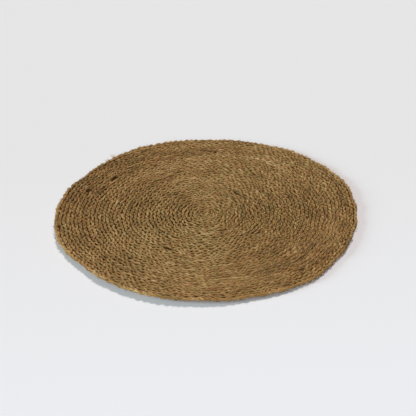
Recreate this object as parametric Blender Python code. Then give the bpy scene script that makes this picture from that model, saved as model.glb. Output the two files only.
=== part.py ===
"""A round table mat: one long plait of grass fibre, wound in a flat spiral and sewn edge to edge.

The whole mat is one piece. Its top has one low ridge for each round of the plait, its rim is as
uneven as hand winding leaves it, and its front left side has curled up a little off the table.
Metres, +Z up. The photograph looks along +Y and down, so -Y is the front.
"""

import bmesh
import bpy
import numpy as np

# Driving sizes, in metres and degrees
PLAIT_WIDTH = 0.004875  # one round of the plait, so the step from one turn of the spiral to the next
TURNS = 39.0  # turns that the plait makes round its small first loop
CREST_HEIGHT = 0.0048  # top of a round above the table
SEAM_HEIGHT = 0.0038  # valley between two rounds, where they are sewn together
RIM_HEIGHT = 0.0024  # height at which the outer round reaches furthest out
RIM_TUCK = 0.0012  # how far the outer round draws in again down to the table
TAIL_TIP = 132.0  # direction in which the plait ends, anticlockwise from +X
TAIL_LENGTH = 16.0  # angle over which its last bit thins out to nothing

# The curled side: where it points, how far from the centre it starts, and its rise at the rim
CURL_DIRECTION = 232.0
CURL_START = 0.1
CURL_RISE = 0.0035

# Bulges (out) and hollows (in) of the rim: their direction, their spread, and how far they reach
RIM_COLUMNS = ("direction", "spread", "out")
RIM_UNEVENNESS = (
    (20, 8, 0.0007),
    (82, 22, -0.0015),
    (122, 18, 0.0035),
    (159, 10, 0.0016),
    (185, 22, 0.0013),
    (216, 15, -0.0027),
    (235, 8, -0.0006),
    (274, 10, -0.0007),
    (307, 13, 0.0028),
    (324, 7, -0.0012),
    (347, 24, -0.0043),
)
UNEVENNESS_FADE = 5  # power of the radius by which the inner rounds stay truly round

# How finely the surface is divided
RAYS = 45  # points in one turn
STRIPS = 3  # strips across one round, which give its ridge a flat crest
UNDERSIDE_RINGS = (0.86, 0.72, 0.58, 0.44, 0.3, 0.15)  # shares of the radius

FIBRE_COLOUR = (0.216, 0.127, 0.051, 1.0)
FIBRE_ROUGHNESS = 0.85
SHARP_ANGLE = 50.0  # edges that turn by more than this are shaded sharp

STEPS = round(TURNS * RAYS)  # steps along the whole spiral
RIM_START = STEPS - RAYS  # the last turn from here on is the rim
MEAN_RADIUS = PLAIT_WIDTH * TURNS


def clear_scene():
    for old in list(bpy.data.objects):
        bpy.data.objects.remove(old, do_unlink=True)


def ray_angle(step):
    """Direction of a step of the spiral, which winds outwards anticlockwise and ends at the tail's tip."""
    return np.radians(TAIL_TIP) + 2 * np.pi * (np.asarray(step) - STEPS) / RAYS


def rim_bulge(angle):
    """How far the rim stands out of its spiral in one direction: a sum of soft bumps."""
    total = np.zeros_like(angle)
    for row in RIM_UNEVENNESS:
        bump = dict(zip(RIM_COLUMNS, row))
        away = (angle - np.radians(bump["direction"]) + np.pi) % (2 * np.pi) - np.pi
        total = total + bump["out"] * np.exp(-((away / np.radians(bump["spread"])) ** 2))
    return total


def seam_radius(step):
    """Radius of the seam outside each step: half a plait at the start, then one plait more each turn.

    Over the tail the last turn falls back by one plait, so that it ends in the turn before it.
    """
    turn = np.asarray(step, float) / RAYS
    tail_turns = TAIL_LENGTH / 360
    into_tail = np.clip((turn - (TURNS - tail_turns)) / tail_turns, 0, 1)
    even = PLAIT_WIDTH * (turn + 0.5 - into_tail)
    return even + rim_bulge(ray_angle(step)) * (even / MEAN_RADIUS) ** UNEVENNESS_FADE


def on_ray(step, radius, height):
    angle = ray_angle(step)
    return np.stack([radius * np.cos(angle), radius * np.sin(angle), height + 0 * angle], axis=-1)


def curl(points):
    """Lifts the points of the curled side, the more the further they are from where it starts."""
    direction = np.radians(CURL_DIRECTION)
    reach = (points[:, 0] * np.cos(direction) + points[:, 1] * np.sin(direction)) / MEAN_RADIUS
    share = np.clip((reach - CURL_START) / (1 - CURL_START), 0, None)
    return points + np.outer(CURL_RISE * share**2, (0, 0, 1))


def top_points():
    """Seam points in order along the spiral, then the crest points of each round, then the first loop's."""
    steps = np.arange(STEPS)
    seam_height = np.where(steps < RIM_START, SEAM_HEIGHT, RIM_HEIGHT)
    seams = on_ray(steps, seam_radius(steps), seam_height)
    inner = np.arange(RIM_START)
    crests = []
    for strip in range(1, STRIPS):
        share = strip / STRIPS
        radius = (1 - share) * seam_radius(inner) + share * seam_radius(inner + RAYS)
        crests.append(on_ray(inner, radius, CREST_HEIGHT))
    first = np.arange(RAYS)
    loop = on_ray(first, seam_radius(first) / 2, CREST_HEIGHT)
    centre = np.array([[0, 0, SEAM_HEIGHT]])
    return np.concatenate([seams, *crests, loop, centre])


def top_index(step, strip):
    """Number of the point at one step and one strip of a round. At the tip the round has no width."""
    if step == RIM_START or strip == 0:
        return step
    if strip == STRIPS:
        outer = step + RAYS
        return outer if outer < STEPS else RIM_START
    return STEPS + (strip - 1) * RIM_START + step


def top_faces():
    """The rounds, each between its inner and its outer seam, and the small loop that they start from."""
    faces = []
    for step in range(RIM_START):
        for strip in range(STRIPS):
            corners = [
                top_index(step, strip),
                top_index(step, strip + 1),
                top_index(step + 1, strip + 1),
                top_index(step + 1, strip),
            ]
            faces.append(list(dict.fromkeys(corners)))
    loop = STEPS + (STRIPS - 1) * RIM_START
    centre = loop + RAYS
    for step in range(RAYS - 1):
        faces.append([centre, loop + step, loop + step + 1])
        faces.append([loop + step, step, step + 1, loop + step + 1])
    return faces + first_loop_closing(loop, centre)


def first_loop_closing(loop, centre):
    """The faces where the first loop meets the start of the plait, between its last ray and the first.

    The last ray has a crest point and a seam point. The first ray has those two and then the points
    of the first round. A fan from each point of the last ray joins the two.
    """
    last_crest, last_seam = loop + RAYS - 1, RAYS - 1
    first_ray = [loop] + [top_index(0, strip) for strip in range(STRIPS + 1)]
    change = 2  # the point of the first ray where one fan ends and the other starts
    faces = [[centre, last_crest, first_ray[0]]]
    faces += [[last_crest, first_ray[i + 1], first_ray[i]] for i in range(change)]
    faces += [[last_crest, last_seam, first_ray[change]]]
    faces += [[last_seam, first_ray[i + 1], first_ray[i]] for i in range(change, STRIPS + 1)]
    return faces


def underside_points():
    """The outer round's foot on the table, rings inside it, and the middle of the underside."""
    steps = np.arange(RIM_START, STEPS)
    foot = seam_radius(steps) - RIM_TUCK
    rings = [on_ray(steps, foot * share, 0.0) for share in (1.0, *UNDERSIDE_RINGS)]
    return np.concatenate([*rings, np.zeros((1, 3))])


def underside_faces(first):
    """The wall from the rim down to the foot, and the rings of the underside. first is its first point."""
    faces = []
    rings = 1 + len(UNDERSIDE_RINGS)
    for ray in range(RAYS):
        after = (ray + 1) % RAYS
        faces.append([RIM_START + ray, first + ray, first + after, RIM_START + after])
        for ring in range(rings - 1):
            outer, inner = first + ring * RAYS, first + (ring + 1) * RAYS
            faces.append([outer + ray, inner + ray, inner + after, outer + after])
        last = first + (rings - 1) * RAYS
        faces.append([last + ray, first + rings * RAYS, last + after])
    return faces


def centred(points):
    """Puts the middle of the mat's length and width on the origin."""
    middle = (points.min(axis=0) + points.max(axis=0)) / 2
    return points - (middle[0], middle[1], 0)


def plaited_fibre():
    material = bpy.data.materials.new("plaited_fibre")
    material.use_nodes = True
    shader = material.node_tree.nodes["Principled BSDF"]
    shader.inputs["Base Color"].default_value = FIBRE_COLOUR
    shader.inputs["Roughness"].default_value = FIBRE_ROUGHNESS
    shader.inputs["Metallic"].default_value = 0.0
    return material


def build_mat(collection):
    top = top_points()
    points = curl(centred(np.concatenate([top, underside_points()])))
    faces = top_faces() + underside_faces(len(top))
    mesh = bpy.data.meshes.new("mat")
    mesh.from_pydata(points.tolist(), [], faces)
    cleaned = bmesh.new()
    cleaned.from_mesh(mesh)
    bmesh.ops.recalc_face_normals(cleaned, faces=cleaned.faces)
    cleaned.to_mesh(mesh)
    cleaned.free()
    mesh.shade_smooth()
    mesh.set_sharp_from_angle(angle=np.radians(SHARP_ANGLE))
    mesh.materials.append(plaited_fibre())
    mat = bpy.data.objects.new("mat", mesh)
    collection.objects.link(mat)
    return mat


clear_scene()
placemat = bpy.data.collections.new("placemat")
bpy.context.scene.collection.children.link(placemat)
build_mat(placemat)
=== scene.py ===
# %% [markdown]
# # A round plaited placemat
# The real mat is one plait of three flat strands of dry grass fibre, about 23 m long. It is wound
# in a flat spiral from a small loop in the middle, and each round is sewn to the one inside it.
# After the camera, the floor and the light, this lesson builds it the same way: first the spiral,
# then the path of the plait, the look of its fibre, the three strands, and last the loose fibres.
#
# Everything is in metres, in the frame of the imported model: +Z up, and the photograph looks along +Y.

import math

import bpy
import numpy as np
from mathutils import Matrix, Vector


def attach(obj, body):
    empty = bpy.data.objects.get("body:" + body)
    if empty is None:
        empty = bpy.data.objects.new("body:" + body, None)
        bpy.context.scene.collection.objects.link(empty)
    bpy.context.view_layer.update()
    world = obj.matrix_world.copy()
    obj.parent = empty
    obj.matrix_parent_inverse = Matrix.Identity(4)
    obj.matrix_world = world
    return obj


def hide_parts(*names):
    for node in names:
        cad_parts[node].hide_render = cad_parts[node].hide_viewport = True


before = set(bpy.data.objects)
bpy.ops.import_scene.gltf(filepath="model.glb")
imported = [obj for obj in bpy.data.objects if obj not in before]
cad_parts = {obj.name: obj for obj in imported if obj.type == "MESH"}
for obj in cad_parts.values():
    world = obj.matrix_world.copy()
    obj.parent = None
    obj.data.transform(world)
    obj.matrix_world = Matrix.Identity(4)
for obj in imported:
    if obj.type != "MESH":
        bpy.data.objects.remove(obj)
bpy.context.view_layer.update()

# %% [markdown]
# ## The camera
# The photograph was taken from about 32 degrees above the table, from far enough away that the mat
# shows little perspective. The rim of the mat is nearly a circle, and fitting its ellipse in the
# photograph gives the angle, the small roll and the focal length. An empty scene has no camera, so
# one is made here and placed by those values.

# %% The camera
PICTURE_WIDTH = 416  # pixels
CAMERA_ELEVATION = 31.84  # degrees above the table
CAMERA_ROLL = 1.67  # degrees by which the picture is turned
CAMERA_DISTANCE = 1.71
FOCAL_PIXELS = 1371.0
CENTRE_PIXEL = (205.9, 215.4)  # where the middle of the mat's base shows in the photograph
SENSOR_WIDTH = 36.0


def place_camera():
    """Looks at the origin from the front, turned by the roll, its picture moved to the centre pixel."""
    data = bpy.data.cameras.new("camera")
    data.sensor_width = SENSOR_WIDTH
    data.lens = FOCAL_PIXELS / PICTURE_WIDTH * SENSOR_WIDTH
    middle = PICTURE_WIDTH / 2
    data.shift_x = (middle - CENTRE_PIXEL[0]) / PICTURE_WIDTH
    data.shift_y = (CENTRE_PIXEL[1] - middle) / PICTURE_WIDTH
    data.clip_start = 0.05
    data.clip_end = 50.0
    camera = bpy.data.objects.new("camera", data)
    bpy.context.scene.collection.objects.link(camera)
    rise = math.radians(CAMERA_ELEVATION)
    place = Matrix.Translation((0.0, -CAMERA_DISTANCE * math.cos(rise), CAMERA_DISTANCE * math.sin(rise)))
    tilt = Matrix.Rotation(math.pi / 2 - rise, 4, "X")
    roll = Matrix.Rotation(-math.radians(CAMERA_ROLL), 4, "Z")
    camera.matrix_world = place @ tilt @ roll
    bpy.context.scene.camera = camera
    return camera


camera = place_camera()
print("lens", round(camera.data.lens, 1), "mm, at", tuple(round(c, 3) for c in camera.location))

# %% [markdown]
# ## Helpers for materials
# Every finish here is a small network of nodes. Written out in full, even a plain one takes a page,
# so one helper starts an empty material, and one adds a node and sets its values.

# %% Helpers for materials


def new_material(name):
    """An empty material with a Principled shader on its output. Gives the node tree and the shader."""
    material = bpy.data.materials.new(name)
    material.use_nodes = True
    tree = material.node_tree
    tree.nodes.clear()
    output = tree.nodes.new("ShaderNodeOutputMaterial")
    shader = tree.nodes.new("ShaderNodeBsdfPrincipled")
    tree.links.new(shader.outputs["BSDF"], output.inputs["Surface"])
    return material, tree, shader


def add_node(tree, kind, settings=(), inputs=()):
    """Adds a node, sets its own settings by name, and its inputs by name or number."""
    node = tree.nodes.new("ShaderNode" + kind)
    for name, value in dict(settings).items():
        setattr(node, name, value)
    for name, value in dict(inputs).items():
        node.inputs[name].default_value = value
    return node


print("materials before any is made here:", [material.name for material in bpy.data.materials])

# %% [markdown]
# ## Noise, numbers and colours
# Each of these helpers adds one node of a kind that is used often, joins its inputs and gives its
# output. A finish can then be read as a few lines of sums, from noise to a number to a colour.

# %% Noise, numbers and colours


def noise(tree, vector, stretch, detail=2.0, roughness=0.5):
    """Noise whose spots are stretch = (x, y, z) metres long, read from a vector output. Gives 0 to 1."""
    scale = tuple(1 / metres for metres in stretch)
    mapping = add_node(tree, "Mapping", inputs={"Scale": scale})
    tree.links.new(vector, mapping.inputs["Vector"])
    spots = add_node(tree, "TexNoise", inputs={"Scale": 1.0, "Detail": detail, "Roughness": roughness})
    tree.links.new(mapping.outputs["Vector"], spots.inputs["Vector"])
    return spots.outputs[0]


def remap(tree, value, low, high, new_low=0.0, new_high=1.0):
    """Takes low..high to new_low..new_high, and holds it there."""
    node = add_node(tree, "MapRange", {"clamp": True}, {1: low, 2: high, 3: new_low, 4: new_high})
    tree.links.new(value, node.inputs[0])
    return node.outputs[0]


def calculate(tree, operation, first, second):
    """One sum of two numbers, each an output or a plain number."""
    node = add_node(tree, "Math", {"operation": operation})
    for place, value in enumerate((first, second)):
        if isinstance(value, (int, float)):
            node.inputs[place].default_value = value
        else:
            tree.links.new(value, node.inputs[place])
    return node.outputs[0]


def blend_colours(tree, share, first, second, blend="MIX"):
    """Mixes two colours, each an output or (r, g, b), by a share from 0 to 1."""
    node = add_node(tree, "Mix", {"data_type": "RGBA", "blend_type": blend})
    for place, value in ((0, share), (6, first), (7, second)):
        if isinstance(value, tuple):
            node.inputs[place].default_value = (*value, 1.0)
        elif isinstance(value, float):
            node.inputs[place].default_value = value
        else:
            tree.links.new(value, node.inputs[place])
    return node.outputs[2]


def colour_steps(tree, value, steps):
    """A colour ramp. steps is a list of (place from 0 to 1, (r, g, b))."""
    ramp = add_node(tree, "ValToRGB")
    elements = ramp.color_ramp.elements
    while len(elements) < len(steps):
        elements.new(0.5)
    for element, (place, colour) in zip(elements, steps):
        element.position = place
        element.color = (*colour, 1.0)
    tree.links.new(value, ramp.inputs[0])
    return ramp.outputs[0]


print("noise with spots of 4 mm is read at a scale of", round(1 / 0.004), "to the metre")

# %% [markdown]
# ## The floor
# The mat lies on a plain pale table. Its colour is painted a little darker and warmer at the back
# than in front, as painted shade where less light reaches the back.
# A wide flat disc is enough for it, because nothing but its colour shows. The floor is only a stage
# for the picture and isn't part of the mat.

# %% The floor
FLOOR_RADIUS = 9.0
FLOOR_RINGS = (0.6, 2.0, FLOOR_RADIUS)
FLOOR_RAYS = 64
# painted shade at the back and painted light in front, where the table gets more light
SHADED_BACK_FLOOR = (0.855, 0.825, 0.800)
LIT_FRONT_FLOOR = (0.918, 0.900, 0.902)
FLOOR_CHANGE = (0.12, -0.45)  # places along Y between which the back's colour turns into the front's


def build_floor():
    """A flat disc: rings of points at radius r and direction a, so x = r cos a and y = r sin a."""
    rings = len(FLOOR_RINGS)
    ray = np.arange(FLOOR_RAYS)
    radius, direction = np.meshgrid(FLOOR_RINGS, ray * 2 * np.pi / FLOOR_RAYS)
    points = np.stack([radius * np.cos(direction), radius * np.sin(direction), 0 * radius], axis=-1)
    here, after = ray * rings, (ray + 1) % FLOOR_RAYS * rings
    faces = [here.tolist()]
    for band in range(rings - 1):
        corners = (here + band, here + band + 1, after + band + 1, after + band)
        faces += np.stack(corners, axis=-1).tolist()
    mesh = bpy.data.meshes.new("table_top")
    mesh.from_pydata(points.reshape(-1, 3).tolist(), [], faces)
    floor = bpy.data.objects.new("table_top", mesh)
    bpy.context.scene.collection.objects.link(floor)
    material, tree, shader = new_material("pale_table")
    place = add_node(tree, "SeparateXYZ")
    tree.links.new(add_node(tree, "TexCoord").outputs["Object"], place.inputs[0])
    frontness = remap(tree, place.outputs["Y"], *FLOOR_CHANGE)
    tree.links.new(blend_colours(tree, frontness, SHADED_BACK_FLOOR, LIT_FRONT_FLOOR), shader.inputs["Base Color"])
    shader.inputs["Roughness"].default_value = 0.9
    shader.inputs["Specular IOR Level"].default_value = 0.2
    mesh.materials.append(material)
    return floor


floor = build_floor()
print("floor", FLOOR_RADIUS * 2, "m across")

# %% [markdown]
# ## The light
# The mat's lifted side at the front left throws a soft grey-blue shadow towards the viewer, so the
# main lamp stands behind the mat. The shadow isn't dark, though, and the front of the rim is lit too,
# so a second, cooler lamp shines from the viewer's side. The table is softly shaded to the right of
# the mat and not to its left, which asks for a third, low lamp on the left. All three are far lamps
# with a wide spread, because those light the whole mat alike and still give soft shadows.

# %% The light
LAMP_COLUMNS = ("name", "direction", "height", "strength", "colour", "spread")
LAMPS = (
    ("window", 80.0, 46.0, 2.10, (1.0, 0.925, 0.905), 9.0),
    ("left_fill", 184.0, 15.0, 2.70, (0.66, 0.88, 1.0), 20.0),
    ("front_fill", 268.0, 26.0, 1.42, (0.90, 0.95, 1.0), 34.0),
)
LAMP_DISTANCE = 3.0
SKY_COLOUR = (0.90, 0.95, 1.0)
SKY_STRENGTH = 0.13


def build_lamp(name, direction, height, strength, colour, spread):
    """A far lamp: its direction and height as angles, and its width in the sky, which softens shadows."""
    data = bpy.data.lights.new(name, "SUN")
    data.energy = strength
    data.color = colour
    data.angle = math.radians(spread)
    lamp = bpy.data.objects.new(name, data)
    across, rise = math.radians(direction), math.radians(height)
    towards = Vector((math.cos(across) * math.cos(rise), math.sin(across) * math.cos(rise), math.sin(rise)))
    lamp.rotation_euler = towards.to_track_quat("Z", "Y").to_euler()
    lamp.location = towards * LAMP_DISTANCE
    bpy.context.scene.collection.objects.link(lamp)
    return lamp


def light_the_room():
    """The three lamps, and a weak even sky."""
    lamps = [build_lamp(**dict(zip(LAMP_COLUMNS, row))) for row in LAMPS]
    world = bpy.data.worlds.new("sky")
    world.use_nodes = True
    background = world.node_tree.nodes["Background"]
    background.inputs["Color"].default_value = (*SKY_COLOUR, 1.0)
    background.inputs["Strength"].default_value = SKY_STRENGTH
    bpy.context.scene.world = world
    bpy.context.scene.view_settings.view_transform = "Standard"
    return lamps


lamps = light_the_room()
print("lamps:", *[lamp.name for lamp in lamps])

# %% [markdown]
# ## The spiral
# The solid model is wound on a spiral whose radius grows by one plait's width a turn. The rim of the
# real mat isn't a true circle: hand winding left soft bulges and hollows, which fade towards the
# middle. The same values are repeated here, because the plait has to follow the solid exactly.

# %% The spiral
PLAIT_WIDTH = 0.004875
TURNS = 39.0
RAYS = 45  # directions in which the solid model's rim is measured
TAIL_TIP = 132.0  # direction in which the plait ends, anticlockwise from +X
TAIL_LENGTH = 16.0  # angle over which its last bit thins out
# Bulges and hollows of the rim: direction and spread in degrees, and how far they reach
RIM_UNEVENNESS = (
    (20, 8, 0.0007),
    (82, 22, -0.0015),
    (122, 18, 0.0035),
    (159, 10, 0.0016),
    (185, 22, 0.0013),
    (216, 15, -0.0027),
    (235, 8, -0.0006),
    (274, 10, -0.0007),
    (307, 13, 0.0028),
    (324, 7, -0.0012),
    (347, 24, -0.0043),
)
UNEVENNESS_FADE = 5  # power of the radius by which the inner rounds stay truly round
MEAN_RADIUS = PLAIT_WIDTH * TURNS


def spiral_direction(turn):
    """Direction at a turn: the tail's tip, less one full circle for each turn before the last."""
    return np.radians(TAIL_TIP) + 2 * np.pi * (turn - TURNS)


def rim_turn(direction):
    """The turn at which the outermost round passes a direction."""
    return TURNS - 1 + ((direction - math.radians(TAIL_TIP)) / (2 * np.pi)) % 1


def rim_bulge(direction):
    """Sum over the bulges of reach times exp(-(angle away / spread) squared)."""
    total = np.zeros_like(direction)
    for centre, spread, reach in RIM_UNEVENNESS:
        away = (direction - np.radians(centre) + np.pi) % (2 * np.pi) - np.pi
        total = total + reach * np.exp(-((away / np.radians(spread)) ** 2))
    return total


def seam_radius(turn):
    """Radius of the seam: one plait's width a turn, less one width over the tail, plus the bulge."""
    tail_turns = TAIL_LENGTH / 360
    into_tail = np.clip((turn - (TURNS - tail_turns)) / tail_turns, 0, 1)
    even = PLAIT_WIDTH * (turn + 0.5 - into_tail)
    return even + rim_bulge(spiral_direction(turn)) * (even / MEAN_RADIUS) ** UNEVENNESS_FADE


def rim_middle():
    """Middle of the rim's length and width, which the solid model has moved to the origin."""
    turn = TURNS - 1 + np.arange(RAYS) / RAYS
    direction = spiral_direction(turn)
    rim = seam_radius(turn)[:, None] * np.stack([np.cos(direction), np.sin(direction)], axis=-1)
    return (rim.min(axis=0) + rim.max(axis=0)) / 2


MAT_MIDDLE = rim_middle()
print("spiral of", TURNS, "turns, its middle moved by", (MAT_MIDDLE * 1000).round(2), "mm")

# %% [markdown]
# ## The path of the plait
# A strand is easiest to describe by how far along the plait it is, in metres, so the spiral is
# measured once: the plait's middle line lies halfway between a seam and the seam one turn later, and
# adding up short steps along it gives the length. Later cells read its place, its outward direction
# and its width by looking them up at any length.

# %% The path of the plait
FIRST_TURN = -0.78  # the plait starts this much before the first full round, bent round on itself
PATH_STEPS = 60000


def measure_path():
    """Length, x, y and half width of the plait's middle line, at many turns from its start to its tip."""
    turn = np.linspace(FIRST_TURN, TURNS - 1, PATH_STEPS)
    inner, outer = seam_radius(turn), seam_radius(turn + 1)
    direction = spiral_direction(turn)
    x = (inner + outer) / 2 * np.cos(direction) - MAT_MIDDLE[0]
    y = (inner + outer) / 2 * np.sin(direction) - MAT_MIDDLE[1]
    length = np.concatenate([[0.0], np.cumsum(np.hypot(np.diff(x), np.diff(y)))])
    return {"length": length, "x": x, "y": y, "half": (outer - inner) / 2, "turn": turn}


def unit(vectors):
    """The same directions with length 1."""
    return vectors / np.linalg.norm(vectors, axis=-1, keepdims=True)


def path_at(along):
    """x, y, outward direction, half width and turn of the plait at lengths along it."""
    x, y, half, turn = (np.interp(along, PATH["length"], PATH[k]) for k in ("x", "y", "half", "turn"))
    step = 0.0002
    ahead, behind = (
        np.stack([np.interp(along + d, PATH["length"], PATH[k]) for k in ("x", "y")], axis=-1)
        for d in (step, -step)
    )
    forward = unit(ahead - behind)
    outward = np.stack([forward[:, 1], -forward[:, 0]], axis=-1)
    return np.stack([x, y], axis=-1), outward, half, turn


PATH = measure_path()
PLAIT_LENGTH = float(PATH["length"][-1])
print("the plait is", round(PLAIT_LENGTH, 2), "m long")

# %% [markdown]
# ## Hand-made unevenness
# No two centimetres of a hand-wound mat are alike. Two helpers give smooth, slow unevenness: one along
# a line and one over the table. Both add sine waves of random length and phase, from a seeded
# generator, so that every run makes the same mat.

# %% Hand-made unevenness


def wander(along, generator, shortest, longest, waves=24):
    """A smooth uneven line: the sum of sine waves of random length and phase, mostly in -1.5 to 1.5."""
    lengths = np.exp(generator.uniform(math.log(shortest), math.log(longest), waves))
    phases = generator.uniform(0, 2 * np.pi, waves)
    total = np.zeros_like(along)
    for length, phase in zip(lengths, phases):
        total += np.sin(2 * np.pi * along / length + phase)
    return total / math.sqrt(waves / 2)


def swell(place, generator, shortest, longest, waves=24):
    """The same over the table: sine waves of (x, y) that run in random directions."""
    lengths = np.exp(generator.uniform(math.log(shortest), math.log(longest), waves))
    ways = generator.uniform(0, 2 * np.pi, waves)
    phases = generator.uniform(0, 2 * np.pi, waves)
    total = np.zeros(place.shape[:-1])
    for length, way, phase in zip(lengths, ways, phases):
        across = place[..., 0] * math.cos(way) + place[..., 1] * math.sin(way)
        total += np.sin(2 * np.pi * across / length + phase)
    return total / math.sqrt(waves / 2)


sample = wander(np.linspace(0, 0.03, 4), np.random.default_rng(1), 0.01, 0.05)
print("a sample, one value a centimetre:", sample.round(2))

# %% [markdown]
# ## Slots
# In a few places the sewing has slackened and two rounds have parted, which leaves a short dark slot.
# Cutting holes would be slow and hard to see, so a slot is only a mark that later cells ask for: the
# strands sink there, and their colour is painted dark as painted shade for the gap. Each is named by
# where it is, as a direction and a radius from the middle of the mat, with half its length along the
# round and half its width.

# %% Slots
# Direction, radius, half length, half width, and depth as a share of SLOT_DEPTH
SLOTS = (
    (142.3, 0.1505, 0.0085, 0.0036, 1.0),  # the large one near the rim, at the back left
    (157.3, 0.1602, 0.0050, 0.0030, 1.0),
    (123.0, 0.1030, 0.0150, 0.0018, 0.9),
    (108.0, 0.1095, 0.0080, 0.0020, 0.9),
    (239.5, 0.0922, 0.0080, 0.0028, 1.0),
    (47.3, 0.0596, 0.0055, 0.0026, 0.9),
    (33.6, 0.0603, 0.0045, 0.0022, 0.8),
    (84.1, 0.1557, 0.0030, 0.0030, 1.0),
    (187.6, 0.1836, 0.0032, 0.0024, 1.0),
    (353.0, 0.1603, 0.0050, 0.0016, 0.7),
    (19.0, 0.1105, 0.0060, 0.0016, 0.7),
    (310.0, 0.1714, 0.0050, 0.0016, 0.7),
    (318.0, 0.1342, 0.0034, 0.0020, 0.7),
    (214.0, 0.0686, 0.0080, 0.0014, 0.7),
)
SLOT_DEPTH = 0.0024
SLOT_SHADE = -0.28  # painted shade: how much darker the fibre is painted in a slot
SLOT_STEEPNESS, SLOT_CUT = 1.7, 0.4  # give a slot a flat floor and a short slope round it


def nearness(place, direction, radius, half_length, half_width):
    """How near (x, y) is to a mark, 0 to 1: exp(-(along / half length)^4 - (across / half width)^2)."""
    way = math.radians(direction)
    out = place[..., 0] * math.cos(way) + place[..., 1] * math.sin(way)
    round_way = place[..., 1] * math.cos(way) - place[..., 0] * math.sin(way)
    along = np.arctan2(round_way, out) * radius
    across = np.hypot(out, round_way) - radius
    return np.exp(-((along / half_length) ** 4) - (across / half_width) ** 2)


def slot_share(place):
    """How far (x, y) lies in a slot: its nearness, made steeper and cut off at 0 and 1, times its depth."""
    shares = []
    for *mark, depth in SLOTS:
        steep = SLOT_STEEPNESS * nearness(place, *mark) - SLOT_CUT
        shares.append(depth * np.clip(steep, 0, 1))
    return np.max(shares, axis=0)


print(len(SLOTS), "slots, the longest", max(row[2] for row in SLOTS) * 2000, "mm long")

# %% [markdown]
# ## Tones and relief
# The fibre isn't one colour. A stretch of the plait that was made from one bundle is paler or darker
# than the next, so tones lie in arcs along the rounds. Two arcs, behind and in front of the middle, are
# also paler as a painted sheen, because there the fibres run across the light and glint more. The
# strands don't stand out alike either: the outer rounds at the front right are worn flat, and those in
# front of the middle are plaited loosely. Both are marks of the same kind as the slots, so that one
# rule finds them all.

# %% Tones and relief
# Direction, radius, half length, half width, and tone
TONES = (
    (125.0, 0.124, 0.105, 0.010, 0.090),  # the smoother, paler arc at the back left
    (138.0, 0.170, 0.095, 0.025, -0.070),  # the dark rounds outside it
    # partly painted sheen: the fibres behind the middle run across the light and glint more
    (92.0, 0.100, 0.050, 0.045, 0.038),
    (40.0, 0.125, 0.045, 0.030, 0.010),
    # partly painted sheen: the fibres in front of the middle run across the light and glint more
    (265.0, 0.125, 0.050, 0.035, 0.055),
    (206.0, 0.184, 0.055, 0.012, 0.045),
    (180.0, 0.115, 0.040, 0.040, -0.020),
    (2.0, 0.070, 0.030, 0.035, -0.030),
    (8.0, 0.130, 0.040, 0.025, -0.030),
    (318.0, 0.110, 0.050, 0.025, -0.020),
    (315.0, 0.151, 0.055, 0.006, -0.065),
    (205.0, 0.068, 0.045, 0.010, -0.060),
    (160.0, 0.096, 0.045, 0.007, -0.050),
    (355.0, 0.054, 0.035, 0.012, -0.065),
    (5.0, 0.126, 0.028, 0.014, -0.050),
    (254.0, 0.072, 0.030, 0.025, 0.055),
    (275.0, 0.176, 0.060, 0.016, 0.010),
    (90.0, 0.045, 0.026, 0.032, 0.060),
    (60.0, 0.148, 0.060, 0.006, 0.045),
    (20.0, 0.165, 0.045, 0.005, 0.040),
    (262.0, 0.052, 0.042, 0.036, 0.075),
    (236.0, 0.178, 0.030, 0.012, -0.050),
    (248.0, 0.153, 0.035, 0.015, 0.040),
    (343.0, 0.136, 0.030, 0.015, -0.045),
    (193.0, 0.155, 0.045, 0.022, -0.025),
    (312.0, 0.158, 0.080, 0.026, -0.045),
)
WORN = (305.0, 0.152, 0.135, 0.030)  # the outer rounds at the front right
LOOSE = (250.0, 0.055, 0.060, 0.035)  # the rounds in front of the middle
WORN_AWAY = 0.45  # share of its relief that the mat has lost in the worn place
RAISED = 0.32  # share of relief that it has more in the loose place


def tone_of(place):
    """Paler (above 0) or darker (below 0) by where (x, y) is: the sum of each tone times its nearness."""
    return np.sum([tone * nearness(place, *mark) for *mark, tone in TONES], axis=0)


def relief_of(place):
    """How much the strands stand out: below 1 where the mat is worn flat, above 1 where it is loose."""
    return 1 - WORN_AWAY * nearness(place, *WORN) + RAISED * nearness(place, *LOOSE)


print(len(TONES), "tones, the darkest", min(row[-1] for row in TONES))

# %% [markdown]
# ## The curled side
# The front left side of the mat has curled up off the table. The solid model lifts its points by the
# square of how far they lie towards that side, and every piece here is lifted by the same rule.

# %% The curled side
CURL_DIRECTION = 232.0
CURL_START = 0.1  # share of the radius at which the curl starts
CURL_RISE = 0.0035  # rise at the rim


def curl_rise(place):
    """Rise at (x, y): CURL_RISE times the square of the share of the way from its start to the rim."""
    direction = math.radians(CURL_DIRECTION)
    reach = (place[..., 0] * math.cos(direction) + place[..., 1] * math.sin(direction)) / MEAN_RADIUS
    return CURL_RISE * np.clip((reach - CURL_START) / (1 - CURL_START), 0, None) ** 2


curled_way = math.radians(CURL_DIRECTION)
rim_rise = curl_rise(MEAN_RADIUS * np.array([math.cos(curled_way), math.sin(curled_way)]))
print("the rim rises by", round(float(rim_rise) * 1000, 2), "mm where it has curled most")

# %% [markdown]
# ## The faces of a tube
# Strands, loose fibres and tufts are all tubes: rings of points along a line, closed at both ends by
# a point. Blender needs each face as a list of point numbers, and for rings those follow a pattern,
# so whole arrays of them are worked out at once instead of one face at a time.

# %% The faces of a tube


def number_grid(*counts):
    """For every combination of the numbers below each count, one array for each of them."""
    return np.meshgrid(*(np.arange(count) for count in counts), indexing="ij")


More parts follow.
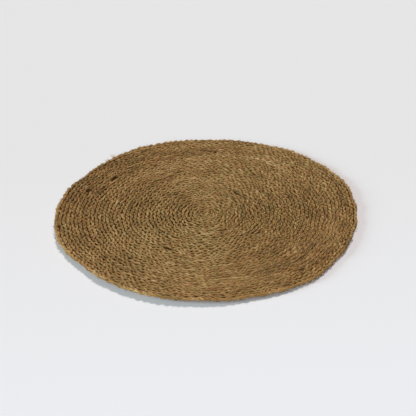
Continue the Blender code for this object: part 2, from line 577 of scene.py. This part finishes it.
def tube_faces(count, rings, sides):
    """Corner numbers of the sides and of the two end caps of count tubes, with outward faces."""
    tube, ring, side = number_grid(count, rings - 1, sides)
    base = tube * (rings * sides)
    after = (side + 1) % sides
    here, there = base + ring * sides, base + (ring + 1) * sides
    quads = np.stack([here + side, there + side, there + after, here + after], axis=-1).reshape(-1, 4)
    tube, side = number_grid(count, sides)
    after = (side + 1) % sides
    poles = count * rings * sides + 2 * tube
    first = tube * (rings * sides)
    last = first + (rings - 1) * sides
    starts = np.stack([poles, first + side, first + after], axis=-1).reshape(-1, 3)
    ends = np.stack([poles + 1, last + after, last + side], axis=-1).reshape(-1, 3)
    return quads, starts, ends


print("a tube of 3 rings of 4 points has", sum(len(f) for f in tube_faces(1, 3, 4)), "faces")

# %% [markdown]
# ## A flat map of the tubes
# So that the finish can be painted onto a picture, for programs that can't read Blender's nodes, every
# face needs its own place on the picture, with no two on top of each other. An automatic unwrap would
# be slow on so many faces. A tube unrolls into a long strip by itself, so it is cut into shorter
# strips, and these fill the picture row by row.

# %% A flat map of the tubes
BAKE_MARGIN = 0.08  # share of a strip's height left free above and below it


def bake_layout(count, rings, sides, strips, columns):
    """Flat place of each face corner. Each tube is cut into strips, and the strips fill a grid of cells."""
    per_strip = math.ceil((rings - 1) / strips)
    rows = math.ceil(count * strips / columns)
    inner = 1 - 2 * BAKE_MARGIN
    end_margin = BAKE_MARGIN / 10

    def place(tube, strip, step, side):
        """The point so many steps along a strip and so many sides up it, in the strip's own cell."""
        cell = tube * strips + strip
        u = end_margin + (1 - 2 * end_margin) * (step + 1) / (per_strip + 2)
        v = BAKE_MARGIN + inner * side / sides
        return np.stack([(cell % columns + u) / columns, (cell // columns + v) / rows], axis=-1)

    tube, ring, side = number_grid(count, rings - 1, sides)
    strip, step = ring // per_strip, ring % per_strip
    corners = [place(tube, strip, step + a, side + b) for a, b in ((0, 0), (1, 0), (1, 1), (0, 1))]
    quads = np.stack(corners, axis=-2).reshape(-1, 2)
    tube, side = number_grid(count, sides)
    starts = [place(tube, 0, a, side + b) for a, b in ((-1, 0.5), (0, 0), (0, 1))]
    strip, step = (rings - 2) // per_strip, (rings - 2) % per_strip + 1
    ends = [place(tube, strip, step + a, side + b) for a, b in ((1, 0.5), (0, 1), (0, 0))]
    caps = [np.stack(c, axis=-2).reshape(-1, 2) for c in (starts, ends)]
    return np.concatenate([quads, *caps])


print("two strips fill the map up to", bake_layout(1, 9, 4, 2, 1).max(axis=0).round(2))

# %% [markdown]
# ## A mesh object from tubes
# One helper turns an array of rings into an object. Beside its shape, a piece carries a few values
# at every point, such as how deep it lies, and the fibre's finish reads those.

# %% A mesh object from tubes


def with_ends(values, width):
    """Values[tube, ring, side] as rows, then those of the two end points: the means of the end rings."""
    ends = np.stack([values[:, 0].mean(axis=1), values[:, -1].mean(axis=1)], axis=1)
    return np.concatenate([values.reshape(-1, width), ends.reshape(-1, width)])


def tube_object(name, points, material, attributes, strips=1, columns=1):
    """A mesh object from points[tube, ring, side], closed at both ends, with values at each point."""
    count, rings, sides = points.shape[:3]
    mesh = bpy.data.meshes.new(name)
    quads, starts, ends = tube_faces(count, rings, sides)
    faces = quads.tolist() + starts.tolist() + ends.tolist()
    mesh.from_pydata(with_ends(points, 3).tolist(), [], faces)
    layout = mesh.uv_layers.new(name="OFBake")
    layout.data.foreach_set("uv", bake_layout(count, rings, sides, strips, columns).ravel())
    for key, values in attributes.items():
        vector = values.ndim == points.ndim
        kind, field, width = ("FLOAT_VECTOR", "vector", 3) if vector else ("FLOAT", "value", 1)
        flat = with_ends(values, width).ravel().astype(np.float32)
        mesh.attributes.new(key, kind, "POINT").data.foreach_set(field, flat)
    mesh.shade_smooth()
    mesh.materials.append(material)
    piece = bpy.data.objects.new(name, mesh)
    bpy.context.scene.collection.objects.link(piece)
    return piece


print("every piece gets the map OFBake, its material, and its values at each point")

# %% [markdown]
# ## The tone of the fibre
# The fibre is dry, flat grass: olive-brown, with paler straw streaks and a few greenish or reddish
# stems. Its streaks run along each strand, so the pattern can't come from the object's own
# coordinates. Each strand carries a vector called grain instead: two numbers that go round the
# strand's section and one that runs along it. Noise that is read from grain and stretched along its
# third number gives streaks that follow every bend with no seam. Layers of such noise add up to one
# number, the tone, and a ramp turns that into a colour.

# %% The tone of the fibre
DEEP_FIBRE = (0.127, 0.061, 0.0145)
BROWN_FIBRE = (0.300, 0.152, 0.041)
TAN_FIBRE = (0.430, 0.236, 0.0745)
STRAW_FIBRE = (0.670, 0.447, 0.212)
GREEN_FIBRE = (0.288, 0.208, 0.062)
RED_FIBRE = (0.405, 0.142, 0.052)
SHADED_FIBRE = (0.290, 0.202, 0.102)  # painted shade: what the colour of deep places is multiplied by
TONE_STEPS = ((0.26, DEEP_FIBRE), (0.43, BROWN_FIBRE), (0.57, TAN_FIBRE), (0.76, STRAW_FIBRE))
TONE_SHIFT = -0.559  # brings the sum of all layers to the middle of the ramp
FIBRE_GLINT = (1.0, 0.80, 0.52)
GREEN_MIDDLE = (-0.015, -0.025, 0.0)  # where the mat is greenest


def fibre_tone(tree, grain, streaks, own_tone):
    """A point's own tone, plus each layer times its weight, from streaks to patches of the whole mat."""
    place = add_node(tree, "TexCoord").outputs["Object"]
    layers = (
        (streaks, 0.30),
        (noise(tree, grain, (0.0009, 0.0009, 0.0013), detail=2.0), 0.36),
        (noise(tree, grain, (0.0016, 0.0016, 0.030), detail=1.5), 0.45),
        (noise(tree, grain, (0.0030, 0.0030, 0.0075), detail=1.5), 0.48),
        (noise(tree, grain, (0.012, 0.012, 0.10), detail=2.0), 0.25),
        (noise(tree, place, (0.028, 0.028, 0.028), detail=2.0, roughness=0.55), 0.24),
    )
    total = calculate(tree, "ADD", own_tone, TONE_SHIFT)
    for layer, weight in layers:
        total = calculate(tree, "ADD", total, calculate(tree, "MULTIPLY", layer, weight))
    return total


def green_share(tree, greens):
    """Green stems all over the mat, and a little more green in its middle part."""
    place = add_node(tree, "TexCoord").outputs["Object"]
    from_middle = add_node(tree, "VectorMath", {"operation": "DISTANCE"}, {1: GREEN_MIDDLE})
    tree.links.new(place, from_middle.inputs[0])
    middle = remap(tree, from_middle.outputs["Value"], 0.15, 0.05, 0.0, 0.22)
    return calculate(tree, "MAXIMUM", remap(tree, greens, 0.55, 0.68, 0.0, 0.7), middle)


print("tones from", TONE_STEPS[0][0], "to", TONE_STEPS[-1][0], "become colours")

# %% [markdown]
# ## The finish of the fibre
# Dry grass is matt, but its smooth skin glints a little along its streaks. The pits between strands
# get no light from the sky and hold dust and broken fibre, so their colour is darkened: partly painted
# shade, partly the dust, and they don't glint at all. Fine ridges come from a bump, because as real
# shapes they would be thousandths of a millimetre high.

# %% The finish of the fibre


def fibre_material(name):
    """Tone as a colour, then green, red and straw stems over it, painted shade in the pits, and fine
    ridges.
    """
    material, tree, shader = new_material(name)
    grain = add_node(tree, "Attribute", {"attribute_name": "grain"}).outputs["Vector"]
    pit_shade = add_node(tree, "Attribute", {"attribute_name": "pit_shade"}).outputs["Fac"]
    own_tone = add_node(tree, "Attribute", {"attribute_name": "tone"}).outputs["Fac"]
    streaks = noise(tree, grain, (0.00034, 0.00034, 0.016), detail=3.0, roughness=0.6)
    colour = colour_steps(tree, fibre_tone(tree, grain, streaks, own_tone), TONE_STEPS)
    greens = noise(tree, grain, (0.0030, 0.0030, 0.05), detail=1.0)
    reds = noise(tree, grain, (0.0030, 0.0030, 0.035), detail=1.0)
    flecks = noise(tree, grain, (0.0012, 0.0012, 0.012), detail=2.0)
    colour = blend_colours(tree, green_share(tree, greens), colour, GREEN_FIBRE)
    colour = blend_colours(tree, remap(tree, reds, 0.60, 0.72, 0.0, 0.6), colour, RED_FIBRE)
    colour = blend_colours(tree, remap(tree, flecks, 0.61, 0.72, 0.0, 0.75), colour, STRAW_FIBRE)
    # painted shade: deep places, the rim's foot and the slots are darkened towards SHADED_FIBRE
    deep = blend_colours(tree, 1.0, colour, SHADED_FIBRE, "MULTIPLY")
    colour = blend_colours(tree, remap(tree, pit_shade, 0.36, 1.00), colour, deep)
    tree.links.new(colour, shader.inputs["Base Color"])
    tree.links.new(remap(tree, streaks, 0.3, 0.7, 0.72, 0.52), shader.inputs["Roughness"])
    tree.links.new(remap(tree, pit_shade, 0.3, 0.9, 0.38, 0.04), shader.inputs["Specular IOR Level"])
    shader.inputs["Specular Tint"].default_value = (*FIBRE_GLINT, 1.0)
    bump = add_node(tree, "Bump", inputs={"Strength": 0.55, "Distance": 0.0004})
    tree.links.new(streaks, bump.inputs["Height"])
    tree.links.new(bump.outputs["Normal"], shader.inputs["Normal"])
    return material


STRAND_FIBRE = fibre_material("strand_fibre")
print(STRAND_FIBRE.name, "has", len(STRAND_FIBRE.node_tree.nodes), "nodes")

# %% [markdown]
# ## The line of a strand
# In a flat plait of three, each strand swings from edge to edge in a sine wave, a third of a wave
# behind the next. It also rises and dips at twice that rate, so that it runs over the others on its
# way out and under them on its way in. Simulating that would be slow and would look the same, so the
# strands are written as formulas. They stand out less where the mat is worn, and the last rounds are
# pulled tight, so that the strands swing less there and lie broader.

# %% The line of a strand
STRAND_PERIOD = 0.0234  # length of plait in which a strand swings to both edges and back
SWING = 0.00132  # how far a strand's middle line swings to each side
DIP = 0.00103  # how far it rises and dips
STRAND_HALF_WIDTH = 0.00130
STRAND_HALF_THICKNESS = 0.00103
MIDDLE_HEIGHT = 0.00238
PLAIT_SEED = 11
THINNEST = 0.45  # share of its size to which the plait thins at its two ends
THICKEST = 1.3  # share of its size to which it may swell where its round is wide
START_LENGTH = 0.012  # length over which the plait's first end thickens
RIM_TIGHTNESS = 0.42  # share by which the strands swing less in the last rounds, and lie broader
RIM_TURNS = 2.4  # turns before the end at which that starts
RIM_ONSET = 2.5  # how fast it comes in, as a share of all of it per turn
# Unevenness of a strand: how much, and its shortest and longest wave in metres of plait
SLIP = (0.0032, 0.03, 0.28)  # of its crossings along the plait
SWING_WAVES = (0.012, 0.06)
SWING_UNEVENNESS = 0.13  # of its swing, in all but the last rounds
TIGHT_UNEVENNESS = 0.55  # of its swing, more as the rounds are pulled tight
STRAY = (0.00018, 0.010, 0.05)  # sideways
LIFT = (0.00020, 0.008, 0.05)  # up and down
SWELLING = (0.13, 0.006, 0.03)  # of its size
SLOW_SWELLING = (0.05, 0.04, 0.25)
SHARED_TONE = (0.042, 0.05, 0.90)  # of its colour, in all three strands alike
OWN_TONE = (0.02, 0.02, 0.30)


def plait_size(along, half):
    """Share of its full size that the plait has: less where its round is narrow, and at its start."""
    start = np.clip(along / START_LENGTH, 0, 1)
    narrow = half / (PLAIT_WIDTH / 2)
    started = THINNEST + (1 - THINNEST) * np.sin(start * np.pi / 2)
    return np.clip(np.minimum(narrow, started), THINNEST, THICKEST)


def uneven(along, generator, amount, shortest, longest):
    """An uneven value along the plait: amount times a wander of waves from shortest to longest."""
    return amount * wander(along, generator, shortest, longest)


def strand_line(number, along):
    """Middle line of a strand: outward by SWING sin p and down by DIP sin 2p, where p is its phase.

    SWING is less where the rounds are tight, and DIP where the mat is worn. Every value wanders a
    little. The slip wanders alike for all three strands, so that they stay in step.
    """
    place, outward, half, turn = path_at(along)
    shared = np.random.default_rng(PLAIT_SEED)
    own = np.random.default_rng(PLAIT_SEED + 1 + number)
    slip = uneven(along, shared, *SLIP)
    phase = 2 * np.pi * ((along + slip) / STRAND_PERIOD + number / 3)
    size = plait_size(along, half)
    tight = 1 - RIM_TIGHTNESS * np.clip(RIM_ONSET * (turn - (TURNS - RIM_TURNS)), 0, 1)
    swing_change = (SWING_UNEVENNESS + TIGHT_UNEVENNESS * (1 - tight)) * wander(along, own, *SWING_WAVES)
    lateral = size * SWING * tight * np.sin(phase) * (1 + swing_change)
    lateral += uneven(along, own, *STRAY)
    height = uneven(along, own, *LIFT) - size * DIP * relief_of(place) * np.sin(2 * phase)
    swollen = 1 + uneven(along, own, *SWELLING) + uneven(along, own, *SLOW_SWELLING)
    flat = place + outward * lateral[:, None]
    return {
        "line": np.concatenate([flat, (MIDDLE_HEIGHT + height)[:, None]], axis=-1),
        "phase": phase,
        "size": size * swollen,
        "broad": 2 - tight,
        "turn": turn,
        "tone": uneven(along, shared, *SHARED_TONE) + uneven(along, own, *OWN_TONE),
    }


print("the strands cross about", round(6 * PLAIT_LENGTH / STRAND_PERIOD), "times")

# %% [markdown]
# ## The surface of a strand
# The strand's section is an ellipse, wider than it is thick. At each edge of the plait the flat
# strand turns over, like a ribbon that is folded round a corner, so the ellipse rolls by half a turn
# on its way from one edge to the other. The grain rolls with it and twists a little on its own.

# %% The surface of a strand
RING_STEP = 0.0015
SIDES = 8
TWIST_LENGTH = 0.06  # length in which the fibre goes once round its strand
TIP_LENGTH = 0.006  # length over which a strand's end tapers
BLUNTNESS = 0.03  # share of its size, squared, that a tip keeps
GRAIN_APART = 20.0  # metres between the grains of two strands, so that no two look alike


def strand_surface(number, start, end):
    """Point = line + a cos v across + b sin v face. The section has rolled 90 (1 - cos phase) degrees."""
    rings = round((end - start) / RING_STEP) + 1
    along = np.linspace(start, end, rings)
    strand = strand_line(number, along)
    line = strand["line"]
    forward = unit(np.gradient(line, along, axis=0))
    level = unit(np.cross(forward, (0.0, 0.0, 1.0)))
    upright = np.cross(level, forward)
    turned = (np.pi / 2 * (1 - np.cos(strand["phase"])))[:, None]
    across = np.cos(turned) * level - np.sin(turned) * upright
    face = np.sin(turned) * level + np.cos(turned) * upright
    from_end = np.minimum(along - start, end - along)
    tip = np.sqrt(np.clip(from_end / TIP_LENGTH, BLUNTNESS, 1))
    around = np.arange(SIDES) * 2 * np.pi / SIDES
    wide = (STRAND_HALF_WIDTH * strand["size"] * strand["broad"] * tip)[:, None, None]
    thick = (STRAND_HALF_THICKNESS * strand["size"] * tip)[:, None, None]
    cos, sin = np.cos(around)[None, :, None], np.sin(around)[None, :, None]
    points = line[:, None] + wide * cos * across[:, None] + thick * sin * face[:, None]
    twist = around[None, :] + 2 * np.pi * along[:, None] / TWIST_LENGTH
    far = along[:, None] + GRAIN_APART * number + 0 * twist
    grain = np.stack([STRAND_HALF_WIDTH * np.cos(twist), STRAND_HALF_WIDTH * np.sin(twist), far], axis=-1)
    return points, grain, strand


print("a strand has about", round(PLAIT_LENGTH / RING_STEP) * SIDES, "points")

# %% [markdown]
# ## Laying it on the table
# So far the plait is level and perfectly round. The real mat waves a little, sinks at its slots and
# is curled up at one side. One function does that for the points of any piece, so that all pieces
# still fit each other afterwards.

# %% Laying it on the table
LOWEST = 0.00012  # pressed flat on the table below this height
WAVE_SHIFT = 0.0006  # how far the mat's waviness moves points sideways
WAVE_RISE = 0.00022  # how far it lifts them
WAVE_LEVEL = 1.6  # puts its lowest waves at the table


def place_on_table(points):
    """Sinks the slots, presses low points onto the table, then adds the mat's waviness and its curl."""
    generator = np.random.default_rng(PLAIT_SEED + 20)
    shift = [WAVE_SHIFT * swell(points[..., :2], generator, 0.03, 0.10) for _ in range(2)]
    rise = WAVE_RISE * (WAVE_LEVEL + swell(points[..., :2], generator, 0.03, 0.12)).clip(0, None)
    placed = points.copy()
    above = np.clip((points[..., 2] - MIDDLE_HEIGHT) / MIDDLE_HEIGHT, 0, 1)
    placed[..., 2] -= SLOT_DEPTH * slot_share(points[..., :2]) * above
    placed[..., 0] += shift[0]
    placed[..., 1] += shift[1]
    placed[..., 2] = np.maximum(placed[..., 2], LOWEST) + rise + curl_rise(placed[..., :2])
    return placed


test_points = place_on_table(np.array([[0.0, 0.0, 0.0], [0.1, 0.0, 0.0], [-0.11, -0.14, 0.0]]))
print("three points of the table now lie at", (test_points[:, 2] * 1000).round(2), "mm")

# %% [markdown]
# ## Dark pits
# How dark the fibre looks depends on how deep it lies: light reaches the strands' crests and hardly
# reaches the places between them. A render works out some of that by itself. Every point also carries
# a number for how deep it lies, and the finish paints shade by it: partly the shade, partly the dust
# and broken fibre in there. The outer side of the rim is in full light, but for its foot, which gets
# painted shade where the mat lies flat on the table.

# %% Dark pits
FULL_DEPTH = 0.0022  # distance from mid height at which a point counts as the mat's face
RIM_ROUNDS = 2.0  # rounds at the end of the plait that can be part of the rim
RIM_ROUNDS_EDGE = 0.25  # turns over which they come in
RIM_BAND = 0.004  # how far inside the mean radius the rim's outer side starts
RIM_BAND_EDGE = 0.002  # width over which it comes in
FOOT_HEIGHT = 0.0021  # below this the rim is in the mat's own shade
FOOT_EDGE = 0.0008  # height over which that shade comes in
FOOT_CURL = 0.0014  # rise of the curl at which the foot gets light again


def pit_depth(points, turn):
    """0 on the faces of the mat and on its rim, 1 at mid height between the strands and in the slots.

    The foot of the rim gets painted shade too, except where the mat has curled up off the table.
    """
    deep = 1 - np.abs(points[..., 2] - MIDDLE_HEIGHT) / FULL_DEPTH
    on_rim = np.clip((turn - (TURNS - RIM_ROUNDS)) / RIM_ROUNDS_EDGE, 0, 1)
    outside = np.linalg.norm(points[..., :2] + MAT_MIDDLE, axis=-1)
    near_edge = np.clip((outside - (MEAN_RADIUS - RIM_BAND)) / RIM_BAND_EDGE, 0, 1)
    deep = np.clip(deep, 0, 1) * (1 - near_edge * on_rim[:, None])
    deep = deep * relief_of(points[..., :2])
    # painted shade at the foot of the rim, where it lies flat on the table
    foot = np.clip((FOOT_HEIGHT - points[..., 2]) / FOOT_EDGE, 0, 1) * near_edge
    flat_down = np.clip(1 - curl_rise(points[..., :2]) / FOOT_CURL, 0, 1)
    deep = np.maximum(deep, foot * flat_down)
    return np.maximum(deep, slot_share(points[..., :2]) * (points[..., 2] > MIDDLE_HEIGHT / 2))


upwards = np.array([[[0.05, 0.0, height] for height in (0.0005, MIDDLE_HEIGHT, 0.0045)]])
print("depth at the underside, mid height and crest:", pit_depth(upwards, np.array([10.0])).round(2)[0])

# %% [markdown]
# ## The three strands
# No stem of grass is 23 m long: the plaiter lays in new ones as the old ones run out. Each strand is
# made as two lengths here, spliced about halfway, which also keeps every piece small enough to
# export. The splices of the three strands lie a little apart, so that they don't show.

# %% The three strands
STRAND_GIRTH = 0.0085  # length once round a strand
SPLICE_AT = 0.52  # share of the plait's length at which the first strand is spliced
SPLICE_STEP = 0.11  # how much further on the next strand is spliced
SPLICE_OVERLAP = 0.010


def build_strand(number, part, start, end):
    """One length of a strand as a tube, paler or darker by its own tone and the mat's tones, shaded in
    slots.
    """
    points, grain, strand = strand_surface(number, start, end)
    pit_shade = pit_depth(points, strand["turn"])
    placed = place_on_table(points)[None]
    strips = round(math.sqrt((end - start) / STRAND_GIRTH))
    # painted shade in the slots, on the parts above mid height
    dark = SLOT_SHADE * slot_share(points[..., :2]) * (points[..., 2] > MIDDLE_HEIGHT / 2)
    tone = strand["tone"][:, None] + tone_of(placed[0, ..., :2]) + dark
    values = {"grain": grain[None], "pit_shade": pit_shade[None], "tone": tone[None]}
    return tube_object(f"strand_{number + 1}_{part}", placed, STRAND_FIBRE, values, strips)


def build_strands():
    """Two lengths for each strand, the second one starting where the first is spliced."""
    pieces = []
    for number in range(3):
        splice = PLAIT_LENGTH * SPLICE_AT + SPLICE_STEP * number
        pieces.append(build_strand(number, "inner", 0.0, splice + SPLICE_OVERLAP))
        pieces.append(build_strand(number, "outer", splice, PLAIT_LENGTH))
    return pieces


strands = build_strands()
print("strands:", {p.name: sum(len(f.vertices) - 2 for f in p.data.polygons) for p in strands}, "triangles")

# %% [markdown]
# ## The heart of the plait
# Between the strands the real mat isn't empty: broken fibre and the sewing fill the gaps at mid
# height, so no light comes through from below. A thin pad between the strands stands for it. It is
# one closed sheet of low relief, a little smaller than the mat, and shows only in the pits, where its
# fibre is painted dark as painted shade, but for the very middle, where the plait's first end is
# tucked in and fills the first loop.

# %% The heart of the plait
HEART_TOP = 0.0020
HEART_BOTTOM = 0.0012
HEART_INSET = 0.0020  # how far it stays inside the rim
HEART_RINGS = 40
HEART_RAYS = 180
RING_CROWDING = 1.5  # power that puts more of its rings near the middle
HEART_RELIEF = 0.00012
HEART_SEEDS = (41, 42)  # of the relief on its top and on its bottom
MIDDLE_RISE = 0.0017  # how much higher it is in the filled middle
MIDDLE_SPREAD = 0.0045  # radius of the filled middle


def heart_surface(height, relief_seed):
    """Rings of points at shares of the rim's radius, less HEART_INSET, with small random relief."""
    share = np.linspace(1 / HEART_RINGS, 1, HEART_RINGS) ** RING_CROWDING
    direction = np.arange(HEART_RAYS) * 2 * np.pi / HEART_RAYS
    turn = rim_turn(direction)
    rim = seam_radius(turn) - HEART_INSET
    radius = share[:, None] * rim[None, :]
    place = np.stack([radius * np.cos(direction), radius * np.sin(direction)], axis=-1) - MAT_MIDDLE
    relief = HEART_RELIEF * swell(place, np.random.default_rng(relief_seed), 0.004, 0.02)
    return np.concatenate([place, (height + relief)[..., None]], axis=-1)


def build_heart():
    """The top and the bottom surface, joined at the rim, with a point in the middle of each.

    The top rises by MIDDLE_RISE exp(-(radius / MIDDLE_SPREAD)^2), and has no painted shade there.
    """
    top = heart_surface(HEART_TOP, HEART_SEEDS[0])
    bottom = heart_surface(HEART_BOTTOM, HEART_SEEDS[1])
    filled = np.exp(-((np.linalg.norm(top[..., :2] + MAT_MIDDLE, axis=-1) / MIDDLE_SPREAD) ** 2))
    top[..., 2] += MIDDLE_RISE * filled
    rings = np.concatenate([bottom, top[::-1]])[None]
    placed = place_on_table(rings)
    grain = placed.copy()
    # painted shade over all of the pad but its filled middle
    pit_shade = np.concatenate([np.ones_like(filled), (1 - filled)[::-1]])[None]
    values = {"grain": grain, "pit_shade": pit_shade, "tone": 0 * pit_shade}
    return tube_object("heart_of_plait", placed, STRAND_FIBRE, values)


heart = build_heart()
print("heart:", len(heart.data.polygons), "faces")

# %% [markdown]
# ## The lines of loose fibres
# Dry grass splits as it is plaited. Fine fibres stand off the strands all over the mat, cross the
# rounds at every angle and stick out of the rim, and they are what makes its face look rough. Blender
# has a hair system for such things, but that doesn't export as a mesh, so thousands of thin bent
# lines are worked out together here.

# %% The lines of loose fibres
FACE_FIBRES = 3200
RIM_FIBRES = 320
FIBRE_RINGS = 5
FIBRE_SIDES = 3
FACE_TOP = 0.0045  # height of the mat's face
FIBRE_DIP = 0.0010  # how much lower its ends are than its middle, on the face
FIBRE_SEED = 71


def bent_lines(start, heading, length, bend, low, high):
    """Lines of FIBRE_RINGS points, made by adding up short steps along a heading that turns by bend.

    The height is low at both ends and high halfway: low + (high - low) sin(pi share).
    """
    share = np.linspace(0, 1, FIBRE_RINGS)[None, :]
    angle = heading[:, None] + bend[:, None] * (share - 0.5)
    step = length[:, None] / (FIBRE_RINGS - 1)
    x = start[:, 0, None] + np.cumsum(np.cos(angle) * step, axis=1) - np.cos(angle) * step
    y = start[:, 1, None] + np.cumsum(np.sin(angle) * step, axis=1) - np.sin(angle) * step
    z = low[:, None] + (high - low)[:, None] * np.sin(np.pi * share)
    return np.stack([x, y, z], axis=-1)


def face_lines(generator):
    """Lines that lie on the face, at any place along the plait, and dip into it at both ends."""
    along = generator.uniform(0.05, PLAIT_LENGTH - 0.02, FACE_FIBRES)
    place, outward, half, turn = path_at(along)
    place = place + outward * (generator.uniform(-1, 1, FACE_FIBRES) * half)[:, None]
    forward = np.arctan2(outward[:, 0], -outward[:, 1])
    side = np.where(generator.random(FACE_FIBRES) < 0.5, 1, -1)
    heading = forward + side * np.radians(generator.uniform(15, 80, FACE_FIBRES))
    length = generator.uniform(0.0025, 0.0075, FACE_FIBRES)
    bend = generator.normal(0, 0.6, FACE_FIBRES)
    start = place - 0.5 * length[:, None] * np.stack([np.cos(heading), np.sin(heading)], axis=-1)
    high = FACE_TOP + generator.uniform(-0.0002, 0.0007, FACE_FIBRES)
    return bent_lines(start, heading, length, bend, high - FIBRE_DIP, high)


def rim_lines(generator):
    """Lines that leave the rim, mostly along it, and bend up or down."""
    direction = generator.uniform(0, 2 * np.pi, RIM_FIBRES)
    turn = rim_turn(direction)
    radius = seam_radius(turn) - generator.uniform(0.0006, 0.0016, RIM_FIBRES)
    start = radius[:, None] * np.stack([np.cos(direction), np.sin(direction)], axis=-1) - MAT_MIDDLE
    side = np.where(generator.random(RIM_FIBRES) < 0.5, 1, -1)
    heading = direction + side * np.radians(generator.uniform(30, 85, RIM_FIBRES))
    length = generator.uniform(0.002, 0.006, RIM_FIBRES)
    bend = -side * generator.uniform(-0.4, 1.2, RIM_FIBRES)
    low = generator.uniform(0.0012, 0.0038, RIM_FIBRES)
    return bent_lines(start, heading, length, bend, low, low + generator.normal(0, 0.0006, RIM_FIBRES))


sample = face_lines(np.random.default_rng(FIBRE_SEED))
print(len(sample), "lines on the face, up to", round(sample[..., 2].max() * 1000, 1), "mm high")

# %% [markdown]
# ## The tubes of loose fibres
# Every line gets a triangular section, which is enough for something a third of a millimetre thick,
# and all of them together are one mesh. The same function makes the tufts and the loop further on.

# %% The tubes of loose fibres
FIBRE_TIP = 0.35  # share of its thickness that a fibre keeps at its tips
FIBRE_GRAIN = 0.0002  # radius of a fibre in its grain
FIBRE_GRAIN_STEP = 0.002  # length of grain from one ring to the next


def build_fibres(name, lines, thickness, tone, generator, columns):
    """Point = line + r (cos v side + sin v up), with r thinning towards both ends."""
    count = len(lines)
    forward = unit(np.gradient(lines, axis=1))
    side = unit(np.cross(forward, (0.0, 0.0, 1.0)))
    up = np.cross(side, forward)
    taper = FIBRE_TIP + (1 - FIBRE_TIP) * np.sin(np.pi * np.linspace(0.04, 0.96, FIBRE_RINGS))
    radius = (thickness[:, None] * taper)[..., None, None]
    around = np.arange(FIBRE_SIDES) * 2 * np.pi / FIBRE_SIDES
    cos, sin = np.cos(around)[None, None, :, None], np.sin(around)[None, None, :, None]
    points = lines[:, :, None] + radius * (cos * side[:, :, None] + sin * up[:, :, None])
    placed = place_on_table(points)
    steps = FIBRE_GRAIN_STEP * np.arange(FIBRE_RINGS)
    far = generator.uniform(100, 160, count)[:, None, None] + steps[None, :, None]
    far = far + 0 * around[None, None, :]
    round_x, round_y = FIBRE_GRAIN * np.cos(around) + 0 * far, FIBRE_GRAIN * np.sin(around) + 0 * far
    grain = np.stack([round_x, round_y, far], axis=-1)
    values = {"grain": grain, "pit_shade": 0 * far, "tone": tone[:, None, None] + 0 * far}
    return tube_object(name, placed, STRAND_FIBRE, values, 1, columns)


def build_loose_fibres():
    """The fibres of the face and of the rim, each with a thickness and a tone of its own."""
    generator = np.random.default_rng(FIBRE_SEED)
    lines = np.concatenate([face_lines(generator), rim_lines(generator)])
    thickness = generator.uniform(0.00010, 0.00020, len(lines))
    tone = generator.normal(0.05, 0.21, len(lines))
    return build_fibres("loose_fibres", lines, thickness, tone, generator, columns=36)


loose_fibres = build_loose_fibres()
print("loose fibres:", sum(len(f.vertices) - 2 for f in loose_fibres.data.polygons), "triangles")

# %% [markdown]
# ## Tufts and a slack loop
# The plait's last end is cut off at the rim, at the back left, and its grass splays out in a small
# pale tuft with a wisp beside it. A third tuft sticks out of the rim on the left, where a knot was cut
# short. Near the large slot one strand has slackened into a little raised loop. The tufts are fibres
# and the loop is as good as a thick one, so all of them are made as the loose fibres are.

# %% Tufts and a slack loop
TUFT_COLUMNS = ("name", "place", "heading", "count", "length", "height", "tone")
TUFTS = (
    ("tail_tuft", (-0.1185, 0.1440), 110.0, 12, 0.0085, 0.0036, 0.36),
    ("tail_wisp", (-0.1275, 0.1335), 128.0, 9, 0.0055, 0.0036, 0.30),
    ("rim_tuft", (-0.1835, -0.0255), 188.0, 16, 0.0040, 0.0034, 0.05),
)
TUFT_SPREAD = 22  # degrees by which its fibres stray to each side
LOOP_ENDS = ((-0.1519, 0.0560), (-0.1440, 0.0690))
LOOP_SLACK = 1.05  # its length as a share of the distance between its ends
LOOP_BEND = -1.4  # angle in radians by which it bends sideways
LOOP_HEIGHT = 0.0036  # where its ends leave the plait
LOOP_RISE = 0.0042
LOOP_THICKNESS = 0.00120
LOOP_TONE = 0.06


def build_tuft(name, place, heading, count, length, height, tone):
    """Bent lines from one place, spread by TUFT_SPREAD to each side and rising by up to 3 mm."""
    generator = np.random.default_rng(FIBRE_SEED + count)
    start = np.array(place) + generator.normal(0, 0.0008, (count, 2))
    angle = np.radians(heading + generator.normal(0, TUFT_SPREAD, count))
    long = length * generator.uniform(0.6, 1.2, count)
    low = height + generator.normal(0, 0.0004, count)
    lines = bent_lines(start, angle, long, generator.normal(0, 0.9, count), low, low)
    rise = generator.uniform(-0.0005, 0.0030, count)
    lines[..., 2] += rise[:, None] * np.linspace(0, 1, FIBRE_RINGS) ** 1.5
    thickness = generator.uniform(0.00022, 0.00040, count)
    return build_fibres(name, lines, thickness, np.full(count, tone), generator, columns=4)


def build_loop():
    """One bent line between two places on the face, raised by LOOP_RISE sin(pi share)."""
    generator = np.random.default_rng(FIBRE_SEED + 5)
    ends = np.array(LOOP_ENDS)
    across = ends[1] - ends[0]
    heading = np.array([math.atan2(across[1], across[0])])
    length = np.array([LOOP_SLACK * float(np.hypot(*across))])
    height = np.array([LOOP_HEIGHT])
    lines = bent_lines(ends[:1], heading, length, np.array([LOOP_BEND]), height, height)
    lines[..., 2] += LOOP_RISE * np.sin(np.pi * np.linspace(0, 1, FIBRE_RINGS))
    thickness, tone = np.array([LOOP_THICKNESS]), np.array([LOOP_TONE])
    return build_fibres("slack_loop", lines, thickness, tone, generator, columns=1)


tufts = [build_tuft(**dict(zip(TUFT_COLUMNS, row))) for row in TUFTS]
loop = build_loop()
print("tufts:", *[tuft.name for tuft in tufts], "and", loop.name)

# %% [markdown]
# ## Attaching the pieces
# Every piece rides on the mat's one body, and the solid model's mat is hidden, since the pieces stand
# for it. The mat is a disc 0.38 m across.

# %% Attaching the pieces
pieces = [*strands, heart, loose_fibres, *tufts, loop]
for piece in pieces:
    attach(piece, "root")
    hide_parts("mat")

print(len(pieces), "pieces ride on the mat")
